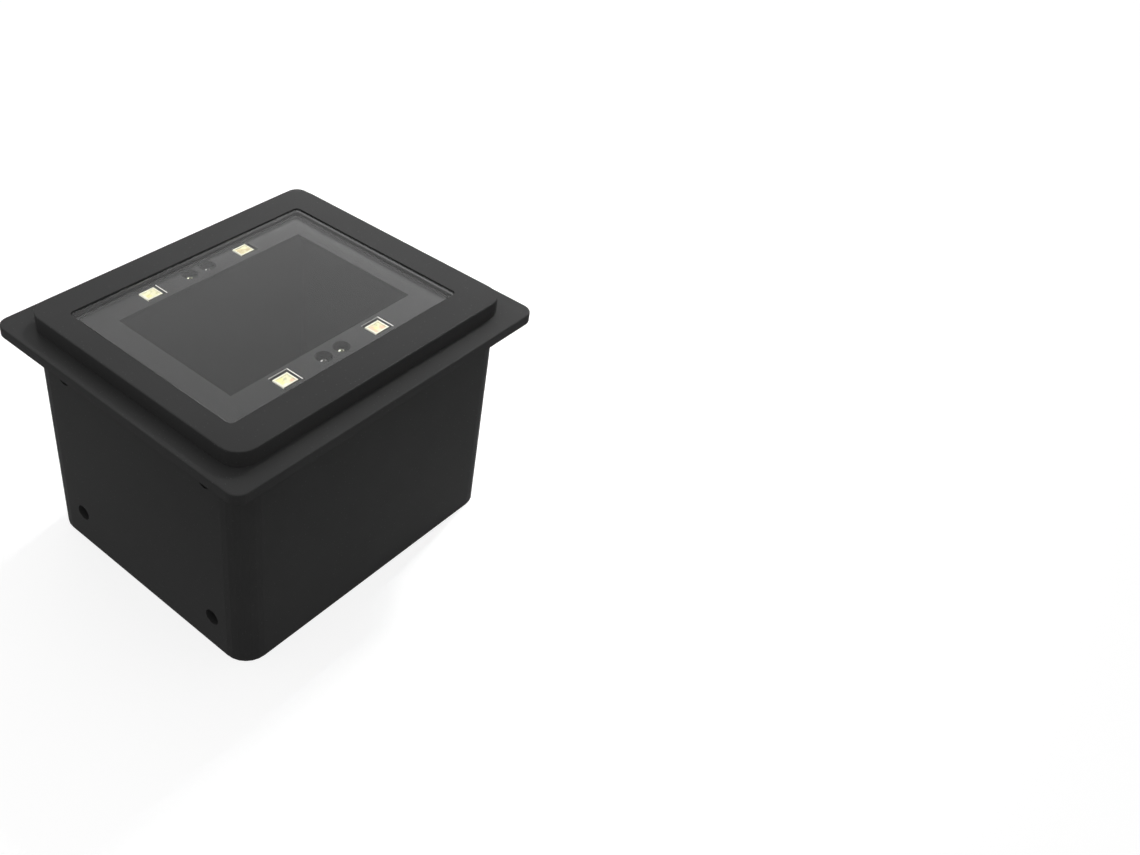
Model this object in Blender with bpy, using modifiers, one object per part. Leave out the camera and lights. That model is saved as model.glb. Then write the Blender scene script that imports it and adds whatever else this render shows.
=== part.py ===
"""Fixed barcode reader: a deep flanged box with a window on top.

Metres, +Z up. The origin is the centre of the flat base. X runs along the long
side and Y along the short side. The window looks up along +Z.
"""
import math

import bmesh
import bpy
from mathutils import Matrix

MM = 0.001

# Fits and roundness
FIT_GAP = 0.3 * MM
CORNER_STEPS = 6
FINE_CORNER_STEPS = 5
SMALL_CORNER_STEPS = 4
BOARD_CORNER_STEPS = 3
ROUND_STEPS = 24
STANDOFF_STEPS = 20
POST_STEPS = 16
SCREW_STEPS = 14
SMALL_STEPS = 12
DRIVE_STEPS = 6
SHARP_ANGLE = math.radians(32)
CUT_MARGIN = 1.0 * MM

# Housing, one moulding: box, flange and bezel
BODY_LENGTH = 70.4 * MM
BODY_WIDTH = 58.9 * MM
BODY_DEPTH = 47.35 * MM
BODY_CORNER = 5.0 * MM
FLANGE_OVERHANG_X = 4.15 * MM
FLANGE_OVERHANG_Y = 4.4 * MM
FLANGE_THICKNESS = 2.3 * MM
FLANGE_CORNER = 2.6 * MM
FLANGE_EDGE = 0.25 * MM
BEZEL_HEIGHT = 3.35 * MM
BEZEL_CORNER = 4.4 * MM
BEZEL_EDGE = 0.25 * MM
WALL = 2.2 * MM
RIM_THICKNESS = 1.0 * MM

# Window pocket in the bezel, with the ledge that carries the glass
BEZEL_BREADTH_X = 5.9 * MM
BEZEL_BREADTH_Y = 7.0 * MM
WINDOW_CORNER = 1.0 * MM
WINDOW_X = -0.75 * MM
WINDOW_Y = 0.35 * MM
WINDOW_RECESS = 0.25 * MM
GLASS_THICKNESS = 1.4 * MM
GLASS_EDGE = 0.1 * MM
GLASS_SIDE_GAP = 0.15 * MM
SEAL_THICKNESS = 0.4 * MM
LEDGE_WIDTH = 0.9 * MM
LEDGE_THICKNESS = 1.85 * MM

# Grey mask plate under the glass
MASK_THICKNESS = 0.8 * MM
MASK_CORNER = 0.7 * MM
MASK_BREADTH_X = 6.05 * MM
MASK_BREADTH_Y = 6.8 * MM
OPENING_X = -0.27 * MM
OPENING_Y = 1.0 * MM
MASK_FOOT_RADIUS = 0.6 * MM
MASK_FOOT_INSET = 0.8 * MM

# Light sources, in one row along each long side of the opening
LIGHT_X = -1.25 * MM
LIGHT_Y = 1.2 * MM
LIGHT_ROW_INSET = 3.65 * MM
LED_SPACING = 23.9 * MM
LED_LENGTH = 3.6 * MM
LED_WIDTH = 3.0 * MM
LED_HEIGHT = 1.9 * MM
LED_DEPTH_BELOW_MASK = 0.25 * MM
LED_CUP_INSET = 0.35 * MM
LED_CUP_DEPTH = 0.3 * MM
LED_WINDOW_LENGTH = 4.7 * MM
LED_WINDOW_WIDTH = 4.2 * MM
DOME_SPACING = 4.6 * MM
DOME_WELL_RADIUS = 1.7 * MM
DOME_RADIUS = 0.9 * MM
DOME_BASE_SIZE = 2.1 * MM
DOME_BASE_HEIGHT = 0.5 * MM
DOME_DEPTH_BELOW_MASK = 0.8 * MM

# Ring-shaped light board
LIGHT_BOARD_INSET_X = 6.0 * MM
LIGHT_BOARD_INSET_Y = 6.95 * MM
LIGHT_BOARD_THICKNESS = 1.2 * MM
LIGHT_BOARD_CORNER = 2.0 * MM

# Light shroud, the black tunnel between the window and the camera
SHROUD_MARGIN_X = 1.9 * MM
SHROUD_MARGIN_Y = 0.45 * MM
SHROUD_WALL = 1.2 * MM
COLLAR_WALL = 0.7 * MM
SHROUD_FLOOR = 14.6 * MM
SHROUD_FLOOR_THICKNESS = 1.2 * MM
SHROUD_CORNER = 0.6 * MM
SHROUD_FLANGE = 1.5 * MM
EAR_WIDTH = 7.0 * MM
EAR_ROOT_SHARE = 0.9
EAR_SPACING_X = 36.0 * MM
EAR_SCREW_INSET = 2.1 * MM
EAR_BOSS_RADIUS = 2.3 * MM

# Base plate and its corner posts
BASE_THICKNESS = 2.0 * MM
POST_RADIUS = 2.2 * MM
POST_INSET = 2.0 * MM
BASE_SCREW_DEPTH = 9.0 * MM
BASE_SCREW_RECESS = 0.1 * MM
STANDOFF_RADIUS = 2.5 * MM
STANDOFF_HEIGHT = 2.7 * MM

# Bracket holes in the two short sides
SIDE_HOLE_RADIUS = 1.7 * MM
SIDE_HOLE_INSET = 9.55 * MM
SIDE_HOLE_Y = -0.5 * MM
SIDE_HOLE_LOW = 7.65 * MM
SIDE_HOLE_DROP = 4.8 * MM
SIDE_HOLE_DEPTH = 5.0 * MM
SIDE_BOSS_RADIUS = 2.5 * MM
SIDE_BOSS_LENGTH = 3.4 * MM

# Main board
MAIN_BOARD_INSET_X = 7.2 * MM
MAIN_BOARD_INSET_Y = 6.45 * MM
MAIN_BOARD_THICKNESS = 1.6 * MM
MAIN_BOARD_CORNER = 1.0 * MM
BOARD_HOLE_INSET = 3.5 * MM

# Camera
CAMERA_BOARD_SHARE = 0.37
CAMERA_BOARD_WIDTH = 26.0 * MM
CAMERA_BOARD_THICKNESS = 1.2 * MM
CAMERA_BOARD_DROP = 4.5 * MM
CAMERA_HOLE_INSET = 2.5 * MM
CAMERA_POST_RADIUS = 2.0 * MM
SENSOR_SIZE = 8.0 * MM
SENSOR_HEIGHT = 1.0 * MM
HOLDER_SIZE = 16.0 * MM
HOLDER_HEIGHT = 3.6 * MM
HOLDER_WALL = 1.6 * MM
HOLDER_TUBE_HEIGHT = 5.6 * MM
BARREL_RADIUS = 5.1 * MM
BARREL_HEAD_RADIUS = 6.2 * MM
BARREL_HEAD_HEIGHT = 2.4 * MM
BARREL_HEAD_EDGE = 0.3 * MM
BARREL_BORE_RADIUS = 3.6 * MM
BARREL_REACH = 7.0 * MM
LENS_RADIUS = 3.9 * MM
LENS_HEIGHT = 1.6 * MM
LENS_RECESS = 0.7 * MM
LENS_RISE_SHARE = 0.35
LENS_STEPS = 6

# Cable socket in the base
CAMERA_CLEARANCE = 1.0 * MM
SOCKET_Y = 0.0 * MM
SOCKET_LENGTH = 13.6 * MM
SOCKET_WIDTH = 16.0 * MM
SOCKET_RECESS = 0.4 * MM
SOCKET_HEIGHT = 13.8 * MM
MOUTH_LENGTH = 6.8 * MM
MOUTH_WIDTH = 11.8 * MM
MOUTH_DEPTH = 11.2 * MM
LATCH_WIDTH = 6.2 * MM
LATCH_LENGTH = 1.4 * MM
LATCH_TONGUE_WIDTH = 3.4 * MM
LATCH_TONGUE_LENGTH = 1.2 * MM

# Components on the main board
DECODER_SIZE = 12.0 * MM
DECODER_HEIGHT = 1.3 * MM
DECODER_X = 1.2 * MM
MEMORY_LENGTH = 8.0 * MM
MEMORY_WIDTH = 6.0 * MM
MEMORY_HEIGHT = 1.0 * MM
MEMORY_INSET = 8.0 * MM
MEMORY_Y = -5.0 * MM
COIL_SIZE = 6.0 * MM
COIL_HEIGHT = 3.0 * MM
COIL_CORNER = 1.0 * MM
COIL_Y = -15.0 * MM
BUZZER_RADIUS = 4.8 * MM
BUZZER_HEIGHT = 4.0 * MM
BUZZER_HOLE_RADIUS = 0.9 * MM
BUZZER_Y = 8.0 * MM
CAMERA_LINK_LENGTH = 3.6 * MM
CAMERA_LINK_WIDTH = 9.0 * MM
CAMERA_LINK_INSET = 4.2 * MM

# Flat cable between the light board and the main board
CABLE_WIDTH = 6.0 * MM
CABLE_THICKNESS = 0.3 * MM
CABLE_CLEARANCE = 1.6 * MM
CABLE_SLACK = 1.6 * MM
CABLE_STEPS = 20
CONNECTOR_LENGTH = 1.7 * MM
CONNECTOR_WIDTH = 6.8 * MM
CONNECTOR_HEIGHT = 1.4 * MM

# Screws: shank radius, head radius and head height
BASE_SCREW = (0.95 * MM, 2.0 * MM, 1.2 * MM)
SHROUD_SCREW = (0.8 * MM, 1.9 * MM, 1.3 * MM)
BOARD_SCREW = (0.95 * MM, 2.1 * MM, 1.3 * MM)
CAMERA_SCREW = (0.6 * MM, 1.4 * MM, 0.8 * MM)
SHROUD_SCREW_LENGTH = 4.6 * MM
BOARD_SCREW_LENGTH = 3.6 * MM
CAMERA_SCREW_LENGTH = 4.2 * MM
DRIVE_RADIUS_SHARE = 0.5
DRIVE_DEPTH_SHARE = 0.5
CONE_NECK_SHARE = 1.2
HEAD_EDGE_SHARE = 0.25

# Heights worked out from the sizes above
FLANGE_TOP = BODY_DEPTH + FLANGE_THICKNESS
BEZEL_TOP = FLANGE_TOP + BEZEL_HEIGHT
GLASS_TOP = BEZEL_TOP - WINDOW_RECESS
GLASS_BOTTOM = GLASS_TOP - GLASS_THICKNESS
SEAL_TOP = GLASS_BOTTOM - FIT_GAP
SEAL_BOTTOM = SEAL_TOP - SEAL_THICKNESS
LEDGE_TOP = SEAL_BOTTOM - FIT_GAP
DECK_BOTTOM = LEDGE_TOP - LEDGE_THICKNESS
MASK_TOP = SEAL_BOTTOM
MASK_BOTTOM = MASK_TOP - MASK_THICKNESS
LED_TOP = MASK_TOP - LED_DEPTH_BELOW_MASK
LIGHT_BOARD_TOP = LED_TOP - LED_HEIGHT - FIT_GAP
LIGHT_BOARD_BOTTOM = LIGHT_BOARD_TOP - LIGHT_BOARD_THICKNESS
SHROUD_TOP = LIGHT_BOARD_BOTTOM - FIT_GAP
EAR_BOTTOM = SHROUD_TOP - SHROUD_FLANGE
BASE_SEAT = BASE_THICKNESS + FIT_GAP
STANDOFF_TOP = BASE_THICKNESS + STANDOFF_HEIGHT
MAIN_BOARD_BOTTOM = STANDOFF_TOP + FIT_GAP
MAIN_BOARD_TOP = MAIN_BOARD_BOTTOM + MAIN_BOARD_THICKNESS
COMPONENT_SEAT = MAIN_BOARD_TOP + FIT_GAP
CAMERA_BOARD_TOP = SHROUD_FLOOR - CAMERA_BOARD_DROP
CAMERA_BOARD_BOTTOM = CAMERA_BOARD_TOP - CAMERA_BOARD_THICKNESS
HOLDER_SEAT = CAMERA_BOARD_TOP + FIT_GAP
HOLDER_TOP = HOLDER_SEAT + HOLDER_HEIGHT

# Plan sizes worked out from the sizes above
WINDOW_LENGTH = BODY_LENGTH - 2 * BEZEL_BREADTH_X
WINDOW_WIDTH = BODY_WIDTH - 2 * BEZEL_BREADTH_Y
OPENING_LENGTH = WINDOW_LENGTH - 2 * MASK_BREADTH_X
OPENING_WIDTH = WINDOW_WIDTH - 2 * MASK_BREADTH_Y
LIGHT_ROW_SPACING = WINDOW_WIDTH - 2 * LIGHT_ROW_INSET
LIGHT_BOARD_LENGTH = BODY_LENGTH - 2 * LIGHT_BOARD_INSET_X
LIGHT_BOARD_WIDTH = BODY_WIDTH - 2 * LIGHT_BOARD_INSET_Y
MAIN_BOARD_LENGTH = BODY_LENGTH - 2 * MAIN_BOARD_INSET_X
MAIN_BOARD_WIDTH = BODY_WIDTH - 2 * MAIN_BOARD_INSET_Y
SIDE_HOLE_SPACING = BODY_WIDTH - 2 * SIDE_HOLE_INSET
SIDE_HOLE_HIGH = BODY_DEPTH - SIDE_HOLE_DROP
CAMERA_BOARD_LENGTH = BODY_LENGTH * CAMERA_BOARD_SHARE
CAMERA_LEFT = OPENING_X - CAMERA_BOARD_LENGTH / 2 - CAMERA_CLEARANCE
CAMERA_RIGHT = OPENING_X + CAMERA_BOARD_LENGTH / 2 + CAMERA_CLEARANCE
SOCKET_X = CAMERA_RIGHT + SOCKET_LENGTH / 2
MEMORY_X = MEMORY_INSET - MAIN_BOARD_LENGTH / 2
COIL_X = CAMERA_LEFT - COIL_SIZE / 2
BUZZER_X = CAMERA_LEFT - BUZZER_RADIUS
CABLE_Y = SOCKET_Y + SOCKET_WIDTH / 2 + CABLE_CLEARANCE + CONNECTOR_WIDTH / 2
CAVITY_LENGTH = BODY_LENGTH - 2 * WALL
CAVITY_WIDTH = BODY_WIDTH - 2 * WALL
CAVITY_CORNER = BODY_CORNER - WALL
BASE_LENGTH = BODY_LENGTH - 2 * (RIM_THICKNESS + FIT_GAP)
BASE_WIDTH = BODY_WIDTH - 2 * (RIM_THICKNESS + FIT_GAP)
BASE_CORNER = BODY_CORNER - RIM_THICKNESS - FIT_GAP
LEDGE_LENGTH = WINDOW_LENGTH - 2 * LEDGE_WIDTH
LEDGE_OPENING_WIDTH = WINDOW_WIDTH - 2 * LEDGE_WIDTH
MASK_LENGTH = LEDGE_LENGTH - 2 * FIT_GAP
MASK_WIDTH = LEDGE_OPENING_WIDTH - 2 * FIT_GAP
SHROUD_LENGTH = OPENING_LENGTH + 2 * SHROUD_MARGIN_X
SHROUD_WIDTH = OPENING_WIDTH + 2 * SHROUD_MARGIN_Y
COLLAR_LENGTH = SHROUD_LENGTH + 2 * COLLAR_WALL
COLLAR_WIDTH = SHROUD_WIDTH + 2 * COLLAR_WALL
WINDOW_CENTRE = (WINDOW_X, WINDOW_Y)
OPENING_CENTRE = (OPENING_X, OPENING_Y)
LED_OFFSET = LED_SPACING / 2
DOME_OFFSET = DOME_SPACING / 2
ROW_OFFSET = LIGHT_ROW_SPACING / 2
EAR_Y = CAVITY_WIDTH / 2 - EAR_SCREW_INSET
CABLE_X = OPENING_X + SHROUD_LENGTH / 2 + SHROUD_WALL + 2 * FIT_GAP + CONNECTOR_LENGTH / 2

# Finishes: colour, roughness and metallic value
FINISHES = {
    "black_moulding": ((0.028, 0.028, 0.029), 0.55, 0.0),
    "black_matte": ((0.012, 0.012, 0.012), 0.8, 0.0),
    "window_glass": ((0.75, 0.78, 0.78), 0.03, 0.0),
    "black_rubber": ((0.02, 0.02, 0.02), 0.75, 0.0),
    "grey_mask": ((0.11, 0.11, 0.11), 0.5, 0.0),
    "board_green": ((0.02, 0.10, 0.045), 0.45, 0.0),
    "led_yellow": ((0.95, 0.86, 0.45), 0.35, 0.0),
    "led_orange": ((0.95, 0.60, 0.35), 0.35, 0.0),
    "clear_dome": ((0.62, 0.64, 0.45), 0.1, 0.0),
    "chip_black": ((0.02, 0.02, 0.022), 0.5, 0.0),
    "lens_glass": ((0.06, 0.08, 0.12), 0.03, 0.0),
    "barrel_black": ((0.02, 0.02, 0.02), 0.35, 0.3),
    "steel": ((0.55, 0.55, 0.53), 0.3, 1.0),
    "flat_cable": ((0.75, 0.48, 0.12), 0.4, 0.0),
    "connector_ivory": ((0.72, 0.68, 0.58), 0.5, 0.0),
}


def clear_scene():
    for item in list(bpy.data.objects):
        bpy.data.objects.remove(item, do_unlink=True)


def new_collection(name):
    group = bpy.data.collections.new(name)
    bpy.context.scene.collection.children.link(group)
    return group


def finish(name, kind):
    """One Principled material for one piece."""
    colour, roughness, metallic = FINISHES[kind]
    made = bpy.data.materials.new(f"{name}_{kind}")
    made.use_nodes = True
    shader = made.node_tree.nodes["Principled BSDF"]
    shader.inputs["Base Color"].default_value = (*colour, 1.0)
    shader.inputs["Roughness"].default_value = roughness
    shader.inputs["Metallic"].default_value = metallic
    return made


def piece(name, bm, kind):
    """A named part made from a bmesh, in the parts collection."""
    mesh = bpy.data.meshes.new(name)
    bm.to_mesh(mesh)
    bm.free()
    mesh.shade_smooth()
    mesh.set_sharp_from_angle(angle=SHARP_ANGLE)
    made = bpy.data.objects.new(name, mesh)
    made.data.materials.append(finish(name, kind))
    PARTS.objects.link(made)
    return made


def tool(name, bm):
    """A hidden solid that cuts or joins."""
    mesh = bpy.data.meshes.new(name)
    bm.to_mesh(mesh)
    bm.free()
    mesh.shade_smooth()
    mesh.set_sharp_from_angle(angle=SHARP_ANGLE)
    made = bpy.data.objects.new(name, mesh)
    made.hide_render = True
    made.display_type = "WIRE"
    TOOLS.objects.link(made)
    return made


def combine(target, operation, name, bm):
    """Adds one exact Boolean to target."""
    step = target.modifiers.new(name, "BOOLEAN")
    step.operation = operation
    step.solver = "EXACT"
    step.object = tool(f"{target.name}_{name}", bm)


def cut(target, name, bm):
    combine(target, "DIFFERENCE", name, bm)


def join(target, name, bm):
    combine(target, "UNION", name, bm)


def bevel_edges(bm, edges, width, steps):
    bmesh.ops.bevel(
        bm,
        geom=edges,
        offset=width,
        offset_type="OFFSET",
        segments=steps,
        profile=0.5,
        affect="EDGES",
        clamp_overlap=False,
        material=-1,
    )


def block(length, width, bottom, top, centre=(0.0, 0.0), corner=0.0, steps=CORNER_STEPS):
    """A box between two heights, with its upright edges rounded."""
    bm = bmesh.new()
    bmesh.ops.create_cube(bm, size=1.0)
    bmesh.ops.scale(bm, vec=(length, width, top - bottom), verts=bm.verts)
    bmesh.ops.translate(bm, vec=(centre[0], centre[1], (top + bottom) / 2), verts=bm.verts)
    if corner > 0:
        upright = [e for e in bm.edges if abs(e.verts[0].co.z - e.verts[1].co.z) > (top - bottom) / 2]
        bevel_edges(bm, upright, corner, steps)
    return bm


def soften_rim(bm, height, width, steps=2):
    """Rounds the edges that lie at one height."""
    near = width / 100
    rim = [
        e for e in bm.edges
        if all(abs(v.co.z - height) < near for v in e.verts) and len(e.link_faces) == 2
        and any(abs(f.normal.z) < 0.5 for f in e.link_faces)
    ]
    bevel_edges(bm, rim, width, steps)
    return bm


def rod(radius, bottom, top, centre=(0.0, 0.0), top_radius=None, steps=ROUND_STEPS):
    """A cylinder or a cone that stands on Z."""
    bm = bmesh.new()
    bmesh.ops.create_cone(
        bm,
        cap_ends=True,
        segments=steps,
        radius1=radius,
        radius2=radius if top_radius is None else top_radius,
        depth=top - bottom,
    )
    bmesh.ops.translate(bm, vec=(centre[0], centre[1], (top + bottom) / 2), verts=bm.verts)
    return bm


def side_rod(radius, start, end, y, z, steps=ROUND_STEPS):
    """A cylinder that lies along X."""
    bm = rod(radius, min(start, end), max(start, end), steps=steps)
    bmesh.ops.rotate(bm, cent=(0, 0, 0), matrix=Matrix.Rotation(math.pi / 2, 3, "Y"), verts=bm.verts)
    bmesh.ops.translate(bm, vec=(0, y, z), verts=bm.verts)
    return bm


def turned(name, profile, centre, kind, steps=ROUND_STEPS):
    """A solid of revolution: the profile is (radius, height) from the top axis point down."""
    bm = bmesh.new()
    points = [bm.verts.new((radius, 0.0, height)) for radius, height in profile]
    for first, second in zip(points, points[1:]):
        bm.edges.new((first, second))
    made = piece(name, bm, kind)
    made.location = (centre[0], centre[1], 0.0)
    spin = made.modifiers.new("turn", "SCREW")
    spin.axis = "Z"
    spin.angle = math.tau
    spin.steps = steps
    spin.render_steps = steps
    spin.use_merge_vertices = True
    spin.merge_threshold = 0.00001
    spin.use_smooth_shade = True
    return made


def quarters(half_x, half_y, centre=(0.0, 0.0)):
    """The four corners of a rectangle, each with the words for its place."""
    return [
        (f"{row}_{side}", (centre[0] + across * half_x, centre[1] + along * half_y))
        for row, along in (("front", -1), ("back", 1))
        for side, across in (("left", -1), ("right", 1))
    ]


def screw(name, sizes, seat, length, centre, head_up, taper=False):
    """A screw whose head lies against the seat height, with a hexagonal drive."""
    shank, head, head_height = sizes
    way = 1 if head_up else -1
    head_end = seat + way * head_height
    low, high = sorted((seat, head_end))
    if taper:
        bm = rod(head, head_end, seat, centre, top_radius=shank * CONE_NECK_SHARE, steps=SCREW_STEPS)
    else:
        bm = rod(head, low, high, centre, steps=SCREW_STEPS)
        soften_rim(bm, head_end, head_height * HEAD_EDGE_SHARE, steps=1)
    made = piece(name, bm, "steel")
    into = seat + way * head_height / 2
    tip = seat - way * length
    join(made, "shank", rod(shank, min(tip, into), max(tip, into), centre, steps=SCREW_STEPS))
    drive_floor = head_end - way * head_height * DRIVE_DEPTH_SHARE
    drive_out = head_end + way * CUT_MARGIN
    low, high = sorted((drive_floor, drive_out))
    cut(made, "drive", rod(head * DRIVE_RADIUS_SHARE, low, high, centre, steps=DRIVE_STEPS))
    return made


def make_housing():
    """Box, flange and bezel as one moulding, open at the base."""
    inside_flange = BODY_DEPTH + FLANGE_THICKNESS / 2
    housing = piece(
        "housing",
        block(BODY_LENGTH, BODY_WIDTH, 0.0, inside_flange, corner=BODY_CORNER),
        "black_moulding",
    )
    flange = block(
        BODY_LENGTH + 2 * FLANGE_OVERHANG_X,
        BODY_WIDTH + 2 * FLANGE_OVERHANG_Y,
        BODY_DEPTH,
        FLANGE_TOP,
        corner=FLANGE_CORNER,
    )
    soften_rim(flange, FLANGE_TOP, FLANGE_EDGE)
    soften_rim(flange, BODY_DEPTH, FLANGE_EDGE)
    join(housing, "flange", flange)
    bezel = block(BODY_LENGTH, BODY_WIDTH, inside_flange, BEZEL_TOP, corner=BEZEL_CORNER)
    join(housing, "bezel", soften_rim(bezel, BEZEL_TOP, BEZEL_EDGE))

    cut(housing, "cavity", block(
        CAVITY_LENGTH, CAVITY_WIDTH, -CUT_MARGIN, DECK_BOTTOM, corner=CAVITY_CORNER))
    cut(housing, "window_pocket", block(
        WINDOW_LENGTH, WINDOW_WIDTH, LEDGE_TOP, BEZEL_TOP + CUT_MARGIN,
        WINDOW_CENTRE, WINDOW_CORNER, FINE_CORNER_STEPS))
    cut(housing, "ledge_opening", block(
        LEDGE_LENGTH, LEDGE_OPENING_WIDTH, DECK_BOTTOM - CUT_MARGIN, LEDGE_TOP + CUT_MARGIN,
        WINDOW_CENTRE, WINDOW_CORNER, FINE_CORNER_STEPS))

    post_x = CAVITY_LENGTH / 2 - POST_INSET
    post_y = CAVITY_WIDTH / 2 - POST_INSET
    for place, centre in quarters(post_x, post_y):
        into_deck = DECK_BOTTOM + LEDGE_THICKNESS / 2
        join(housing, f"post_{place}", rod(POST_RADIUS, BASE_SEAT / 2, into_deck, centre, steps=POST_STEPS))
    for place, centre in quarters(EAR_SPACING_X / 2, EAR_Y):
        low = SHROUD_TOP + FIT_GAP
        into_deck = DECK_BOTTOM + LEDGE_THICKNESS / 2
        join(housing, f"boss_{place}", rod(EAR_BOSS_RADIUS, low, into_deck, centre, steps=POST_STEPS))
    for side in (-1, 1):
        outer = side * BODY_LENGTH / 2
        inner = side * (CAVITY_LENGTH / 2 - SIDE_BOSS_LENGTH)
        root = side * (CAVITY_LENGTH / 2 + WALL / 2)
        for level, z in (("low", SIDE_HOLE_LOW), ("high", SIDE_HOLE_HIGH)):
            for along in (-1, 1):
                y = SIDE_HOLE_Y + along * SIDE_HOLE_SPACING / 2
                name = f"{'left' if side < 0 else 'right'}_{level}_{'front' if along < 0 else 'back'}"
                join(housing, f"side_boss_{name}", side_rod(
                    SIDE_BOSS_RADIUS, inner, root, y, z, POST_STEPS))
                bottom = outer - side * SIDE_HOLE_DEPTH
                cut(housing, f"side_hole_{name}", side_rod(
                    SIDE_HOLE_RADIUS, bottom, outer + side * CUT_MARGIN, y, z))
    cut(housing, "base_rebate", block(
        BODY_LENGTH - 2 * RIM_THICKNESS,
        BODY_WIDTH - 2 * RIM_THICKNESS,
        -CUT_MARGIN,
        BASE_SEAT,
        corner=BODY_CORNER - RIM_THICKNESS,
    ))
    for place, centre in quarters(post_x, post_y):
        bore = BASE_SCREW[0] + FIT_GAP
        cut(housing, f"post_bore_{place}", rod(
            bore, BASE_SEAT - CUT_MARGIN, BASE_SEAT + BASE_SCREW_DEPTH, centre, steps=POST_STEPS))
    for place, centre in quarters(EAR_SPACING_X / 2, EAR_Y):
        bore = SHROUD_SCREW[0] + FIT_GAP
        top = EAR_BOTTOM + SHROUD_SCREW_LENGTH + FIT_GAP
        cut(housing, f"boss_bore_{place}", rod(bore, SHROUD_TOP, top, centre, steps=POST_STEPS))


def make_window():
    """Glass and the adhesive seal that it lies on."""
    glass = block(
        WINDOW_LENGTH - 2 * GLASS_SIDE_GAP, WINDOW_WIDTH - 2 * GLASS_SIDE_GAP, GLASS_BOTTOM, GLASS_TOP,
        WINDOW_CENTRE, WINDOW_CORNER - GLASS_SIDE_GAP, FINE_CORNER_STEPS)
    piece("window_glass", soften_rim(glass, GLASS_TOP, GLASS_EDGE, 1), "window_glass")
    seal = piece("window_seal", block(
        WINDOW_LENGTH - 2 * FIT_GAP, WINDOW_WIDTH - 2 * FIT_GAP, SEAL_BOTTOM, SEAL_TOP,
        WINDOW_CENTRE, WINDOW_CORNER - FIT_GAP, FINE_CORNER_STEPS), "black_rubber")
    cut(seal, "opening", block(
        LEDGE_LENGTH, LEDGE_OPENING_WIDTH, SEAL_BOTTOM - CUT_MARGIN, SEAL_TOP + CUT_MARGIN,
        WINDOW_CENTRE, WINDOW_CORNER, FINE_CORNER_STEPS))


def make_mask():
    """Grey plate with the large opening, four square and four round windows, on eight feet."""
    mask = piece("illumination_mask", block(
        MASK_LENGTH, MASK_WIDTH, MASK_BOTTOM, MASK_TOP,
        WINDOW_CENTRE, MASK_CORNER, SMALL_CORNER_STEPS), "grey_mask")
    cut(mask, "opening", block(
        OPENING_LENGTH, OPENING_WIDTH, MASK_BOTTOM - CUT_MARGIN, MASK_TOP + CUT_MARGIN, OPENING_CENTRE))
    low = LIGHT_BOARD_TOP + FIT_GAP
    into_plate = (MASK_BOTTOM + MASK_TOP) / 2
    foot_x = LIGHT_X + (LED_OFFSET + DOME_OFFSET) / 2
    long_side_feet = [
        (foot_x if across > 0 else 2 * LIGHT_X - foot_x, LIGHT_Y + along * ROW_OFFSET)
        for along in (-1, 1) for across in (-1, 1)
    ]
    foot_reach = MASK_LENGTH / 2 - MASK_FOOT_INSET
    short_side_feet = [
        (WINDOW_X + across * foot_reach, OPENING_Y + along * OPENING_WIDTH / 4)
        for across in (-1, 1) for along in (-1, 1)
    ]
    for number, centre in enumerate(long_side_feet + short_side_feet, 1):
        join(mask, f"foot_{number}", rod(MASK_FOOT_RADIUS, low, into_plate, centre, steps=SMALL_STEPS))
    for place, centre in quarters(LED_OFFSET, ROW_OFFSET, (LIGHT_X, LIGHT_Y)):
        cut(mask, f"led_window_{place}", block(
            LED_WINDOW_LENGTH, LED_WINDOW_WIDTH,
            MASK_BOTTOM - CUT_MARGIN, MASK_TOP + CUT_MARGIN, centre))
    for place, centre in quarters(DOME_OFFSET, ROW_OFFSET, (LIGHT_X, LIGHT_Y)):
        cut(mask, f"dome_well_{place}", rod(
            DOME_WELL_RADIUS, MASK_BOTTOM - CUT_MARGIN, MASK_TOP + CUT_MARGIN, centre, steps=ROUND_STEPS))


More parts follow.
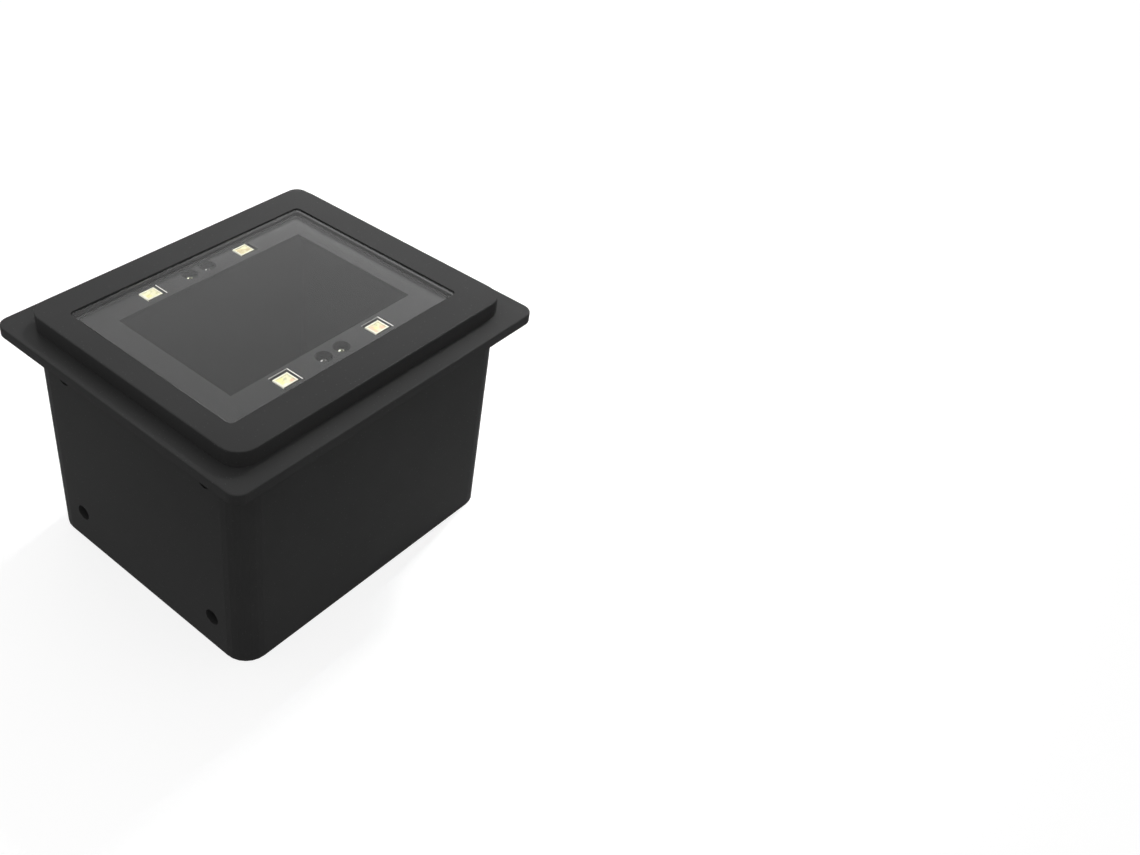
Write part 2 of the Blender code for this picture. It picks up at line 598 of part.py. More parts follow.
def make_lights():
    """Light board with its square and domed light sources."""
    board = piece("light_board", block(
        LIGHT_BOARD_LENGTH, LIGHT_BOARD_WIDTH, LIGHT_BOARD_BOTTOM, LIGHT_BOARD_TOP,
        corner=LIGHT_BOARD_CORNER, steps=SMALL_CORNER_STEPS), "board_green")
    cut(board, "opening", block(
        COLLAR_LENGTH + 2 * FIT_GAP, COLLAR_WIDTH + 2 * FIT_GAP, LIGHT_BOARD_BOTTOM - CUT_MARGIN,
        LIGHT_BOARD_TOP + CUT_MARGIN, OPENING_CENTRE, SHROUD_CORNER + COLLAR_WALL + FIT_GAP,
        SMALL_CORNER_STEPS))
    for place, centre in quarters(LED_OFFSET, ROW_OFFSET, (LIGHT_X, LIGHT_Y)):
        kind = "led_orange" if place == "front_right" else "led_yellow"
        led = piece(f"square_led_{place}", block(
            LED_LENGTH, LED_WIDTH, LED_TOP - LED_HEIGHT, LED_TOP, centre), kind)
        cut(led, "cup", block(
            LED_LENGTH - 2 * LED_CUP_INSET, LED_WIDTH - 2 * LED_CUP_INSET,
            LED_TOP - LED_CUP_DEPTH, LED_TOP + CUT_MARGIN, centre))
    seat = LIGHT_BOARD_TOP + FIT_GAP
    dome_centre = MASK_TOP - DOME_DEPTH_BELOW_MASK - DOME_RADIUS
    for place, centre in quarters(DOME_OFFSET, ROW_OFFSET, (LIGHT_X, LIGHT_Y)):
        dome = piece(f"dome_led_{place}", block(
            DOME_BASE_SIZE, DOME_BASE_SIZE, seat, seat + DOME_BASE_HEIGHT, centre), "clear_dome")
        ball = bmesh.new()
        bmesh.ops.create_uvsphere(ball, u_segments=16, v_segments=10, radius=DOME_RADIUS)
        bmesh.ops.translate(ball, vec=(centre[0], centre[1], dome_centre), verts=ball.verts)
        low = [v for v in ball.verts if v.co.z < seat + DOME_BASE_HEIGHT / 2]
        bmesh.ops.bisect_plane(
            ball, geom=ball.verts[:] + ball.edges[:] + ball.faces[:],
            plane_co=(0, 0, seat + DOME_BASE_HEIGHT / 2), plane_no=(0, 0, 1), clear_inner=bool(low))
        bmesh.ops.holes_fill(ball, edges=ball.edges, sides=0)
        join(dome, "dome", ball)


def make_shroud():
    """Black tunnel with a collar through the light board, a flange under it and a floor round the camera."""
    shroud = piece("light_shroud", block(
        SHROUD_LENGTH + 2 * SHROUD_WALL, SHROUD_WIDTH + 2 * SHROUD_WALL,
        SHROUD_FLOOR, SHROUD_TOP - SHROUD_FLANGE / 2,
        OPENING_CENTRE, SHROUD_CORNER + SHROUD_WALL, SMALL_CORNER_STEPS), "black_matte")
    join(shroud, "flange", block(
        LIGHT_BOARD_LENGTH, LIGHT_BOARD_WIDTH, EAR_BOTTOM, SHROUD_TOP,
        corner=LIGHT_BOARD_CORNER, steps=SMALL_CORNER_STEPS))
    for along in (-1, 1):
        for across in (-1, 1):
            inner = EAR_ROOT_SHARE * LIGHT_BOARD_WIDTH / 2
            outer = CAVITY_WIDTH / 2 - FIT_GAP
            centre = (across * EAR_SPACING_X / 2, along * (inner + outer) / 2)
            name = f"ear_{'front' if along < 0 else 'back'}_{'left' if across < 0 else 'right'}"
            join(shroud, name, block(
                EAR_WIDTH, outer - inner, EAR_BOTTOM + FIT_GAP / 3, SHROUD_TOP - FIT_GAP / 3, centre))
    collar_top = MASK_BOTTOM - FIT_GAP
    join(shroud, "collar", block(
        COLLAR_LENGTH, COLLAR_WIDTH, EAR_BOTTOM + SHROUD_FLANGE / 2, collar_top,
        OPENING_CENTRE, SHROUD_CORNER + COLLAR_WALL, SMALL_CORNER_STEPS))
    cut(shroud, "tunnel", block(
        SHROUD_LENGTH, SHROUD_WIDTH, SHROUD_FLOOR + SHROUD_FLOOR_THICKNESS, collar_top + CUT_MARGIN,
        OPENING_CENTRE, SHROUD_CORNER, SMALL_CORNER_STEPS))
    post_x = CAMERA_BOARD_LENGTH / 2 - CAMERA_HOLE_INSET
    post_y = CAMERA_BOARD_WIDTH / 2 - CAMERA_HOLE_INSET
    for place, centre in quarters(post_x, post_y, OPENING_CENTRE):
        join(shroud, f"camera_post_{place}", rod(
            CAMERA_POST_RADIUS, CAMERA_BOARD_TOP + FIT_GAP, SHROUD_FLOOR + SHROUD_FLOOR_THICKNESS / 2,
            centre, steps=POST_STEPS))
        bore = CAMERA_SCREW[0] + FIT_GAP
        top = CAMERA_BOARD_BOTTOM - FIT_GAP + CAMERA_SCREW_LENGTH + FIT_GAP
        cut(shroud, f"camera_bore_{place}", rod(bore, CAMERA_BOARD_TOP, top, centre, steps=SMALL_STEPS))
    cut(shroud, "camera_hole", rod(
        HOLDER_TUBE_RADIUS + FIT_GAP, SHROUD_FLOOR - CUT_MARGIN,
        SHROUD_FLOOR + SHROUD_FLOOR_THICKNESS + CUT_MARGIN, OPENING_CENTRE))
    for place, centre in quarters(EAR_SPACING_X / 2, EAR_Y):
        cut(shroud, f"ear_hole_{place}", rod(
            SHROUD_SCREW[0] + FIT_GAP, EAR_BOTTOM - CUT_MARGIN, SHROUD_TOP + CUT_MARGIN,
            centre, steps=POST_STEPS))
        screw(
            f"shroud_screw_{place}", SHROUD_SCREW, EAR_BOTTOM - FIT_GAP / 3, SHROUD_SCREW_LENGTH, centre,
            head_up=False)
    notch_left = CABLE_X - CONNECTOR_LENGTH / 2 - FIT_GAP
    notch_right = LIGHT_BOARD_LENGTH / 2 + CUT_MARGIN
    cut(shroud, "cable_notch", block(
        notch_right - notch_left, CONNECTOR_WIDTH + 2 * FIT_GAP, EAR_BOTTOM - CUT_MARGIN,
        SHROUD_TOP + CUT_MARGIN, ((notch_left + notch_right) / 2, CABLE_Y)))


def make_camera():
    """Camera board under the shroud floor, with its sensor, holder, barrel and lens."""
    board = piece("camera_board", block(
        CAMERA_BOARD_LENGTH, CAMERA_BOARD_WIDTH, CAMERA_BOARD_BOTTOM, CAMERA_BOARD_TOP,
        OPENING_CENTRE, MAIN_BOARD_CORNER, BOARD_CORNER_STEPS), "board_green")
    post_x = CAMERA_BOARD_LENGTH / 2 - CAMERA_HOLE_INSET
    post_y = CAMERA_BOARD_WIDTH / 2 - CAMERA_HOLE_INSET
    for place, centre in quarters(post_x, post_y, OPENING_CENTRE):
        cut(board, f"hole_{place}", rod(
            CAMERA_SCREW[0] + FIT_GAP, CAMERA_BOARD_BOTTOM - CUT_MARGIN, CAMERA_BOARD_TOP + CUT_MARGIN,
            centre, steps=SMALL_STEPS))
        screw(
            f"camera_screw_{place}", CAMERA_SCREW, CAMERA_BOARD_BOTTOM - FIT_GAP, CAMERA_SCREW_LENGTH,
            centre, head_up=False)
    piece("image_sensor", block(
        SENSOR_SIZE, SENSOR_SIZE, HOLDER_SEAT, HOLDER_SEAT + SENSOR_HEIGHT, OPENING_CENTRE), "chip_black")

    holder = piece("lens_holder", block(
        HOLDER_SIZE, HOLDER_SIZE, HOLDER_SEAT, HOLDER_TOP,
        OPENING_CENTRE, HOLDER_WALL, BOARD_CORNER_STEPS), "black_matte")
    tube_top = HOLDER_TOP + HOLDER_TUBE_HEIGHT
    join(holder, "tube", rod(HOLDER_TUBE_RADIUS, HOLDER_TOP - HOLDER_WALL / 2, tube_top, OPENING_CENTRE))
    cut(holder, "sensor_room", block(
        HOLDER_SIZE - 2 * HOLDER_WALL, HOLDER_SIZE - 2 * HOLDER_WALL, HOLDER_SEAT - CUT_MARGIN,
        HOLDER_TOP - HOLDER_WALL, OPENING_CENTRE))
    cut(holder, "bore", rod(
        BARREL_RADIUS + FIT_GAP, HOLDER_SEAT, tube_top + CUT_MARGIN, OPENING_CENTRE))

    head_bottom = tube_top + FIT_GAP
    head_top = head_bottom + BARREL_HEAD_HEIGHT
    lens_top = head_top - LENS_RECESS
    lens_seat = lens_top - LENS_HEIGHT
    barrel_bottom = head_bottom - BARREL_REACH
    barrel = piece("lens_barrel", rod(BARREL_RADIUS, barrel_bottom, head_top - BARREL_HEAD_HEIGHT / 2,
                                      OPENING_CENTRE), "barrel_black")
    head = rod(BARREL_HEAD_RADIUS, head_bottom, head_top, OPENING_CENTRE)
    join(barrel, "head", soften_rim(head, head_top, BARREL_HEAD_EDGE))
    cut(barrel, "bore", rod(
        BARREL_BORE_RADIUS, barrel_bottom - CUT_MARGIN, head_top + CUT_MARGIN, OPENING_CENTRE))
    cut(barrel, "lens_seat", rod(
        LENS_RADIUS + FIT_GAP, lens_seat - FIT_GAP, head_top + CUT_MARGIN, OPENING_CENTRE))
    cut(barrel, "front_bevel", rod(
        LENS_RADIUS + FIT_GAP, lens_top, head_top + CUT_MARGIN, OPENING_CENTRE,
        top_radius=BARREL_HEAD_RADIUS))

    rise = LENS_HEIGHT * LENS_RISE_SHARE
    arc = [
        (LENS_RADIUS * math.sin(turn), lens_top - rise * (1 - math.cos(turn)))
        for turn in (math.pi / 2 * step / LENS_STEPS for step in range(LENS_STEPS + 1))
    ]
    turned("front_lens", arc + [(LENS_RADIUS, lens_seat), (0.0, lens_seat)], OPENING_CENTRE, "lens_glass")


def make_base():
    """Base plate inside the rim, with standoffs, socket cut-out and four countersunk screws."""
    base = piece("base_plate", block(
        BASE_LENGTH, BASE_WIDTH, 0.0, BASE_THICKNESS, corner=BASE_CORNER), "black_moulding")
    hole_x = MAIN_BOARD_LENGTH / 2 - BOARD_HOLE_INSET
    hole_y = MAIN_BOARD_WIDTH / 2 - BOARD_HOLE_INSET
    for place, centre in quarters(hole_x, hole_y):
        join(base, f"standoff_{place}", rod(
            STANDOFF_RADIUS, BASE_THICKNESS / 2, STANDOFF_TOP, centre, steps=STANDOFF_STEPS))
        bore_floor = MAIN_BOARD_TOP + FIT_GAP - BOARD_SCREW_LENGTH - FIT_GAP
        cut(base, f"standoff_bore_{place}", rod(
            BOARD_SCREW[0] + FIT_GAP, bore_floor, STANDOFF_TOP + CUT_MARGIN, centre, steps=POST_STEPS))
    cut(base, "socket_cutout", block(
        SOCKET_LENGTH + 2 * FIT_GAP, SOCKET_WIDTH + 2 * FIT_GAP, -CUT_MARGIN,
        BASE_THICKNESS + CUT_MARGIN, (SOCKET_X, SOCKET_Y)))
    post_x = CAVITY_LENGTH / 2 - POST_INSET
    post_y = CAVITY_WIDTH / 2 - POST_INSET
    shank, head, head_height = BASE_SCREW
    seat = BASE_SCREW_RECESS + head_height
    cone_neck = shank * CONE_NECK_SHARE
    for place, centre in quarters(post_x, post_y):
        cut(base, f"screw_hole_{place}", rod(
            shank + FIT_GAP, -CUT_MARGIN, BASE_THICKNESS + CUT_MARGIN, centre, steps=SCREW_STEPS))
        cut(base, f"countersink_{place}", rod(
            head + FIT_GAP, -FIT_GAP, seat, centre, top_radius=cone_neck + FIT_GAP, steps=SCREW_STEPS))
        screw(
            f"base_screw_{place}", BASE_SCREW, seat, BASE_SCREW_DEPTH - FIT_GAP, centre,
            head_up=False, taper=True)


def make_main_board():
    """Main board on the base plate's standoffs, with what it carries."""
    board = piece("main_board", block(
        MAIN_BOARD_LENGTH, MAIN_BOARD_WIDTH, MAIN_BOARD_BOTTOM, MAIN_BOARD_TOP,
        corner=MAIN_BOARD_CORNER, steps=BOARD_CORNER_STEPS), "board_green")
    cut(board, "socket_cutout", block(
        SOCKET_LENGTH + 2 * FIT_GAP, SOCKET_WIDTH + 2 * FIT_GAP, MAIN_BOARD_BOTTOM - CUT_MARGIN,
        MAIN_BOARD_TOP + CUT_MARGIN, (SOCKET_X, SOCKET_Y)))
    hole_x = MAIN_BOARD_LENGTH / 2 - BOARD_HOLE_INSET
    hole_y = MAIN_BOARD_WIDTH / 2 - BOARD_HOLE_INSET
    for place, centre in quarters(hole_x, hole_y):
        cut(board, f"hole_{place}", rod(
            BOARD_SCREW[0] + FIT_GAP, MAIN_BOARD_BOTTOM - CUT_MARGIN, MAIN_BOARD_TOP + CUT_MARGIN,
            centre, steps=POST_STEPS))
        screw(
            f"board_screw_{place}", BOARD_SCREW, MAIN_BOARD_TOP + FIT_GAP, BOARD_SCREW_LENGTH, centre,
            head_up=True)

    decoder_y = OPENING_Y
    piece("decoder_chip", block(
        DECODER_SIZE, DECODER_SIZE, COMPONENT_SEAT, COMPONENT_SEAT + DECODER_HEIGHT,
        (DECODER_X, decoder_y)), "chip_black")
    piece("memory_chip", block(
        MEMORY_LENGTH, MEMORY_WIDTH, COMPONENT_SEAT, COMPONENT_SEAT + MEMORY_HEIGHT,
        (MEMORY_X, MEMORY_Y)), "chip_black")
    piece("power_coil", block(
        COIL_SIZE, COIL_SIZE, COMPONENT_SEAT, COMPONENT_SEAT + COIL_HEIGHT,
        (COIL_X, COIL_Y), COIL_CORNER, BOARD_CORNER_STEPS), "chip_black")
    buzzer = piece("buzzer", rod(
        BUZZER_RADIUS, COMPONENT_SEAT, COMPONENT_SEAT + BUZZER_HEIGHT, (BUZZER_X, BUZZER_Y)), "chip_black")
    cut(buzzer, "sound_hole", rod(
        BUZZER_HOLE_RADIUS, COMPONENT_SEAT + BUZZER_HEIGHT / 2, COMPONENT_SEAT + BUZZER_HEIGHT + CUT_MARGIN,
        (BUZZER_X, BUZZER_Y), steps=POST_STEPS))
    link_x = OPENING_X - CAMERA_BOARD_LENGTH / 2 + CAMERA_LINK_INSET
    piece("camera_connector", block(
        CAMERA_LINK_LENGTH, CAMERA_LINK_WIDTH, COMPONENT_SEAT, CAMERA_BOARD_BOTTOM - FIT_GAP,
        (link_x, OPENING_Y)), "connector_ivory")


def make_socket():
    """Cable socket with its stepped mouth, which opens through the base plate."""
    top = SOCKET_RECESS + SOCKET_HEIGHT
    socket = piece("cable_socket", block(
        SOCKET_LENGTH, SOCKET_WIDTH, SOCKET_RECESS, top, (SOCKET_X, SOCKET_Y)), "chip_black")
    mouth_top = SOCKET_RECESS + MOUTH_DEPTH
    mouth_x = SOCKET_X - LATCH_LENGTH / 2
    cut(socket, "mouth", block(
        MOUTH_LENGTH, MOUTH_WIDTH, -CUT_MARGIN, mouth_top, (mouth_x, SOCKET_Y)))
    latch_x = mouth_x + MOUTH_LENGTH / 2 + LATCH_LENGTH / 2
    cut(socket, "latch_slot", block(
        LATCH_LENGTH + CUT_MARGIN, LATCH_WIDTH, -CUT_MARGIN, mouth_top - FIT_GAP,
        (latch_x - CUT_MARGIN / 2, SOCKET_Y)))
    tongue_x = latch_x + LATCH_LENGTH / 2 + LATCH_TONGUE_LENGTH / 2
    cut(socket, "tongue_slot", block(
        LATCH_TONGUE_LENGTH + CUT_MARGIN, LATCH_TONGUE_WIDTH, -CUT_MARGIN, mouth_top - 2 * FIT_GAP,
        (tongue_x - CUT_MARGIN / 2, SOCKET_Y)))


def make_cable():
    """Flat cable with a slack wave, and the connector at each end."""
    connector_bottom = LIGHT_BOARD_BOTTOM - FIT_GAP - CONNECTOR_HEIGHT
    piece("light_connector_upper", block(
        CONNECTOR_LENGTH, CONNECTOR_WIDTH, connector_bottom, LIGHT_BOARD_BOTTOM - FIT_GAP,
        (CABLE_X, CABLE_Y)), "connector_ivory")
    connector_top = COMPONENT_SEAT + CONNECTOR_HEIGHT
    piece("light_connector_lower", block(
        CONNECTOR_LENGTH, CONNECTOR_WIDTH, COMPONENT_SEAT, connector_top,
        (CABLE_X, CABLE_Y)), "connector_ivory")
    low = connector_top + FIT_GAP
    high = connector_bottom - FIT_GAP
    bm = bmesh.new()
    edges = []
    for step in range(CABLE_STEPS + 1):
        share = step / CABLE_STEPS
        x = CABLE_X + CABLE_SLACK * math.sin(math.pi * share) ** 2
        z = low + (high - low) * share
        first = bm.verts.new((x, CABLE_Y - CABLE_WIDTH / 2, z))
        second = bm.verts.new((x, CABLE_Y + CABLE_WIDTH / 2, z))
        edges.append((first, second))
    for (a, b), (c, d) in zip(edges, edges[1:]):
        bm.faces.new((a, b, d, c))
    cable = piece("light_cable", bm, "flat_cable")
    wall = cable.modifiers.new("thickness", "SOLIDIFY")
    wall.thickness = CABLE_THICKNESS
    wall.offset = 0.0


HOLDER_TUBE_RADIUS = BARREL_RADIUS + FIT_GAP + HOLDER_WALL

clear_scene()
PARTS = new_collection("fixed_barcode_reader")
TOOLS = new_collection("cutters")
make_housing()
make_window()
make_mask()
make_lights()
make_shroud()
make_camera()
make_base()
make_main_board()
make_socket()
make_cable()
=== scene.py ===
import math

import bmesh
import bpy
from mathutils import Matrix, Vector


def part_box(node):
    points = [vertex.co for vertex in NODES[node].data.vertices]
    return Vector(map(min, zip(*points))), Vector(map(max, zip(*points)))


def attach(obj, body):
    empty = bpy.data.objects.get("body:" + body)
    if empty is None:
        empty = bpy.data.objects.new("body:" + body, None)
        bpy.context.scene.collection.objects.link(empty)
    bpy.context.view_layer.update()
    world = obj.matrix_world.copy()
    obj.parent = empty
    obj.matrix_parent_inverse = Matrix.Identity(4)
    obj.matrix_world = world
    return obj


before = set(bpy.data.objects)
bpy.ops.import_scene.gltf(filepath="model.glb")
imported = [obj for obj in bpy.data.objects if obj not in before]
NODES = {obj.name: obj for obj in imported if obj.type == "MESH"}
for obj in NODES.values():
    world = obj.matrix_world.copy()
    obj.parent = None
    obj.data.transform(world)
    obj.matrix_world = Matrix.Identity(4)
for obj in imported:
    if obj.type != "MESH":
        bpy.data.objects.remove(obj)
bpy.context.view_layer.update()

MM = 0.001
LOW, HIGH = 0, 1

# Sockets of the Mix node when it blends colours
MIX_AMOUNT, MIX_FIRST, MIX_SECOND, MIX_RESULT = 0, 6, 7, 2

# Camera, from the photograph
CAMERA_PLACE = Vector((-130.55, -141.98, 182.35)) * MM
CAMERA_YAW = math.radians(50.32)
CAMERA_PITCH = math.radians(39.6)
CAMERA_ROLL = math.radians(4.18)
CAMERA_LENS = 38.007
CAMERA_SHIFT = 0.15
CAMERA_SENSOR = 36.0
CAMERA_NEAR = 0.01

# Studio
FLOOR_SIZE = 6.0
FLOOR_GAP = 0.02 * MM
FLOOR_LIFT = 0.82
FLOOR_TONE = 0.36
FLOOR_CLEAR_TO = 0.3 * MM
FLOOR_SOLID_FROM = 0.6 * MM
ROOM_LIGHT = 0.34
ROOM_SEEN = 1.0
OVERHEAD = {"place": (0.10, 0.10, 0.62), "size": (0.50, 0.50), "watts": 0.4}
POOL = {
    "place": (0.46, 0.08, 0.50), "size": (0.12, 0.12), "watts": 0.10,
    "aim": (0.11, 0.03, 0.05), "spread": 24.0}

# Nodes and boxes from the frame
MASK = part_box("illumination_mask")
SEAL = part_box("window_seal")
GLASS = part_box("window_glass")
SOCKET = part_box("cable_socket")
FIRST_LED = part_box("square_led_front_left")
LAST_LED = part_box("square_led_back_right")
LED_CENTRE = [(FIRST_LED[LOW][axis] + LAST_LED[HIGH][axis]) / 2 for axis in range(2)]
LED_OFFSET = [(LAST_LED[LOW][axis] + LAST_LED[HIGH][axis]) / 2 - LED_CENTRE[axis] for axis in range(2)]

# Window glass, with a painted glow and a painted highlight line on its sides
GLOW_FADE_LOW = 10.0 * MM
GLOW_FADE_HIGH = 55.0 * MM
HIGHLIGHT_LINE_DEPTH = 0.86 * MM
HIGHLIGHT_LINE_HALF = 0.17 * MM
HIGHLIGHT_LINE_SOFT = 0.07 * MM

# Mask
CORE_BOTTOM = 0.26 * MM
CORE_TOP = 0.22 * MM
LED_EDGE_REACH = 0.9 * MM
LED_EDGE_SOFT = 0.1 * MM
QUARTER_SOFT = 1.0 * MM
# Bands measured from the mask's far edges: a paler band of painted light, and a dark rim of painted shade
PAINTED_LIGHT_BAND = (0.8 * MM, 3.2 * MM)
PAINTED_SHADE_RIM = (0.26 * MM, 0.42 * MM)

# Electronics
TRACK_PITCH = 1.27 * MM
CONDUCTOR_PITCH = 0.75 * MM
SENSOR_HALF_LENGTH = 2.6 * MM
SENSOR_HALF_WIDTH = 2.0 * MM
SENSOR_SOFT = 0.02 * MM
LED_LENS_BOTTOM = 0.36 * MM
LED_LENS_TOP = 0.32 * MM

# Spring wires in the cable socket
CONTACT_COUNT = 8
CONTACT_PITCH = 1.02 * MM
CONTACT_THICKNESS = 0.32 * MM
CONTACT_LEAN = 2.0 * MM
CONTACT_BOTTOM = 2.0 * MM
CONTACT_TOP = 10.6 * MM
CONTACT_INSET = 3.8 * MM

SHARP_ANGLE = math.radians(35)

# Light colours
YELLOW = (0.78, 0.74, 0.34)
CREAM = (0.80, 0.77, 0.52)
WHITE = (0.84, 0.82, 0.70)
PEACH = (0.74, 0.54, 0.36)
OLIVE = (0.60, 0.58, 0.34)
TAN = (0.58, 0.49, 0.27)
DOME_GREY = (0.05, 0.05, 0.045)
DOME_GREEN = (0.07, 0.075, 0.035)
STEEL = (0.58, 0.57, 0.54)
DARK_STEEL = (0.16, 0.16, 0.17)

# Soft spots on each square light, as (u, v, radius, colour), and the width of its painted shade outline
SQUARE_LEDS = {
    "front_left": (
        ((-0.36, 0.55, 0.55, YELLOW), (-0.50, 0.00, 0.35, YELLOW), (0.25, 0.38, 0.24, OLIVE),
         (0.60, -0.48, 0.32, PEACH), (-0.30, -0.66, 0.40, WHITE)), 0.02),
    "front_right": (
        ((-0.50, 0.45, 0.56, PEACH), (-0.62, -0.30, 0.50, PEACH), (0.55, -0.30, 0.46, PEACH),
         (0.32, 0.60, 0.25, OLIVE), (0.00, 0.10, 0.30, YELLOW)), 0.02),
    "back_left": (
        ((-0.29, 0.00, 0.40, YELLOW), (0.38, 0.62, 0.18, OLIVE), (0.65, -0.14, 0.20, OLIVE),
         (-0.58, -0.37, 0.18, OLIVE)), 0.06),
    "back_right": (
        ((-0.31, 0.21, 0.70, TAN), (0.45, -0.10, 0.36, TAN), (0.50, -0.60, 0.25, WHITE)), 0.12),
}

# Each dome's body colour, the place of its painted highlight spot and the radius of its painted highlight
# ring in mm, and the colour of its painted glint
DOME_LEDS = {
    "front_left": (DOME_GREY, (-0.34, 0.24), 0.40, (0.42, 0.42, 0.40)),
    "front_right": (DOME_GREEN, (-0.30, 0.20), 0.40, (1.0, 1.0, 0.86)),
    "back_left": (DOME_GREEN, (-0.34, 0.20), 0.38, (1.0, 1.0, 0.78)),
    "back_right": (DOME_GREY, (-0.34, 0.20), 0.38, (0.40, 0.40, 0.40)),
}


class Wire:
    """A shader value that takes part in ordinary arithmetic."""

    def __init__(self, graph, socket):
        self.graph = graph
        self.socket = socket

    def _do(self, operation, *others):
        return self.graph.maths(operation, self, *others)

    def __add__(self, other):
        return self._do("ADD", other)

    def __radd__(self, other):
        return self.graph.maths("ADD", other, self)

    def __sub__(self, other):
        return self._do("SUBTRACT", other)

    def __rsub__(self, other):
        return self.graph.maths("SUBTRACT", other, self)

    def __mul__(self, other):
        return self._do("MULTIPLY", other)

    def __rmul__(self, other):
        return self.graph.maths("MULTIPLY", other, self)

    def __truediv__(self, other):
        return self._do("DIVIDE", other)

    def __pow__(self, other):
        return self._do("POWER", other)

    def __abs__(self):
        return self._do("ABSOLUTE")

    def least(self, other):
        return self._do("MINIMUM", other)

    def most(self, other):
        return self._do("MAXIMUM", other)

    def sine(self):
        return self._do("SINE")

    def wave(self):
        """A sine between 0 and 1."""
        return self.sine() * 0.5 + 0.5

    def root(self):
        return self._do("SQRT")

    def part(self):
        return self._do("FRACT")

    def above(self, low, high):
        """0 under low, 1 over high, smooth between."""
        return self.graph.step(self, low, high)

    def within(self, half, soft):
        """1 where the value lies nearer to zero than half."""
        return 1.0 - abs(self).above(half - soft, half + soft)


class Graph:
    """One material's node tree."""

    def __init__(self, name):
        self.material = bpy.data.materials.new(name)
        self.material.use_nodes = True
        self.tree = self.material.node_tree
        self.tree.nodes.clear()
        self.output = self.node("OutputMaterial")

    def node(self, kind, settings=None, inputs=None):
        made = self.tree.nodes.new("ShaderNode" + kind)
        for key, value in (settings or {}).items():
            setattr(made, key, value)
        for key, value in (inputs or {}).items():
            self.feed(made.inputs[key], value)
        return made

    def feed(self, socket, value):
        if isinstance(value, Wire):
            self.tree.links.new(value.socket, socket)
        elif value is not None:
            socket.default_value = value

    def wire(self, kind, settings=None, inputs=None, output=0):
        return Wire(self, self.node(kind, settings, inputs).outputs[output])

    def maths(self, operation, *values):
        return self.wire("Math", {"operation": operation}, dict(enumerate(values)))

    def step(self, value, low, high):
        settings = {"interpolation_type": "SMOOTHSTEP"}
        return self.wire("MapRange", settings, {"Value": value, "From Min": low, "From Max": high})

    def place(self):
        """The object's own coordinates in metres, as a vector and as x, y and z."""
        where = self.wire("TexCoord", output="Object")
        split = self.node("SeparateXYZ", inputs={0: where})
        return where, *(Wire(self, split.outputs[axis]) for axis in range(3))

    def facing(self):
        """The surface normal as x, y and z."""
        normal = self.wire("NewGeometry", output="Normal")
        split = self.node("SeparateXYZ", inputs={0: normal})
        return tuple(Wire(self, split.outputs[axis]) for axis in range(3))

    def vector(self, x, y, z):
        return self.wire("CombineXYZ", inputs={0: x, 1: y, 2: z})

    def noise(self, where, scale, detail=3.0, roughness=0.5):
        inputs = {"Vector": where, "Scale": scale, "Detail": detail, "Roughness": roughness}
        return self.wire("TexNoise", inputs=inputs, output="Fac")

    def cells(self, where, scale):
        """Distance to the nearest of many scattered points."""
        return self.wire("TexVoronoi", inputs={"Vector": where, "Scale": scale}, output="Distance")

    def blend(self, amount, first, second):
        """A colour between two colours."""
        mixer = self.node("Mix", {"data_type": "RGBA"})
        self.feed(mixer.inputs[MIX_AMOUNT], amount)
        self.feed(mixer.inputs[MIX_FIRST], colour(first))
        self.feed(mixer.inputs[MIX_SECOND], colour(second))
        return Wire(self, mixer.outputs[MIX_RESULT])

    def mix(self, amount, first, second):
        """A shader between two shaders."""
        mixer = self.node("MixShader", inputs={0: amount})
        self.tree.links.new(first.outputs[0], mixer.inputs[1])
        self.tree.links.new(second.outputs[0], mixer.inputs[2])
        return mixer

    def bump(self, height, strength, depth):
        return self.wire("Bump", inputs={"Height": height, "Strength": strength, "Distance": depth})

    def surface(self, shader):
        self.tree.links.new(shader.outputs[0], self.output.inputs["Surface"])
        return self.material

    def principled(self, **inputs):
        """A Principled shader, with socket names written with underscores."""
        named = {key.replace("_", " "): value for key, value in inputs.items()}
        for key in ("Base Color", "Emission Color", "Coat Tint"):
            if key in named:
                named[key] = colour(named[key])
        return self.node("BsdfPrincipled", inputs=named)


def colour(value):
    """Grey numbers and triples as a full colour."""
    if isinstance(value, Wire):
        return value
    if isinstance(value, (int, float)):
        return (value, value, value, 1.0)
    return (*value, 1.0)


def scaled(tone, share):
    """A share of a colour, darker below 1."""
    return tuple(share * part for part in tone)


def middle(box, axis):
    """The middle of a box along one axis."""
    return (box[LOW][axis] + box[HIGH][axis]) / 2


def half(box, axis):
    """Half of a box's size along one axis."""
    return (box[HIGH][axis] - box[LOW][axis]) / 2


def reach(x, y):
    """Distance from zero of a point in the plane."""
    return (x ** 2.0 + y ** 2.0).root()


def from_axis(x, y, box):
    """Distance from the upright middle line of a box."""
    return reach(x - middle(box, 0), y - middle(box, 1))


def crossed(x, y, rate):
    """Two crossing waves, between 0 and 1."""
    return (x * rate).sine() * (y * rate).sine() * 0.5 + 0.5


def moulded_black(name, tone, grain):
    """Black plastic from a spark-eroded mould."""
    g = Graph(name)
    where = g.place()[0]
    nz = g.facing()[2]
    fine = g.noise(where, 5200.0 * grain, 2.0)
    coarse = g.noise(where, 1400.0 * grain, 3.0)
    cloud = g.noise(where, 55.0, 2.0)
    specks = g.cells(where, 900.0).above(0.06, 0.13)
    base = g.blend(cloud, tone * 0.86, tone * 1.14)
    base = g.blend(specks, tone * 1.5, base)
    under = 1.0 - nz.above(-0.3, -0.05)
    rough = 0.52 + 0.10 * cloud + 0.10 * (fine - 0.5) + 0.35 * under
    relief = fine * 0.55 + coarse * 0.45
    return g.surface(g.principled(
        Base_Color=base, Roughness=rough, Specular_IOR_Level=0.022, Coat_Roughness=0.27,
        Coat_Weight=0.155 * nz.above(0.6, 0.9), Normal=g.bump(relief, 0.22, 0.06 * MM)))


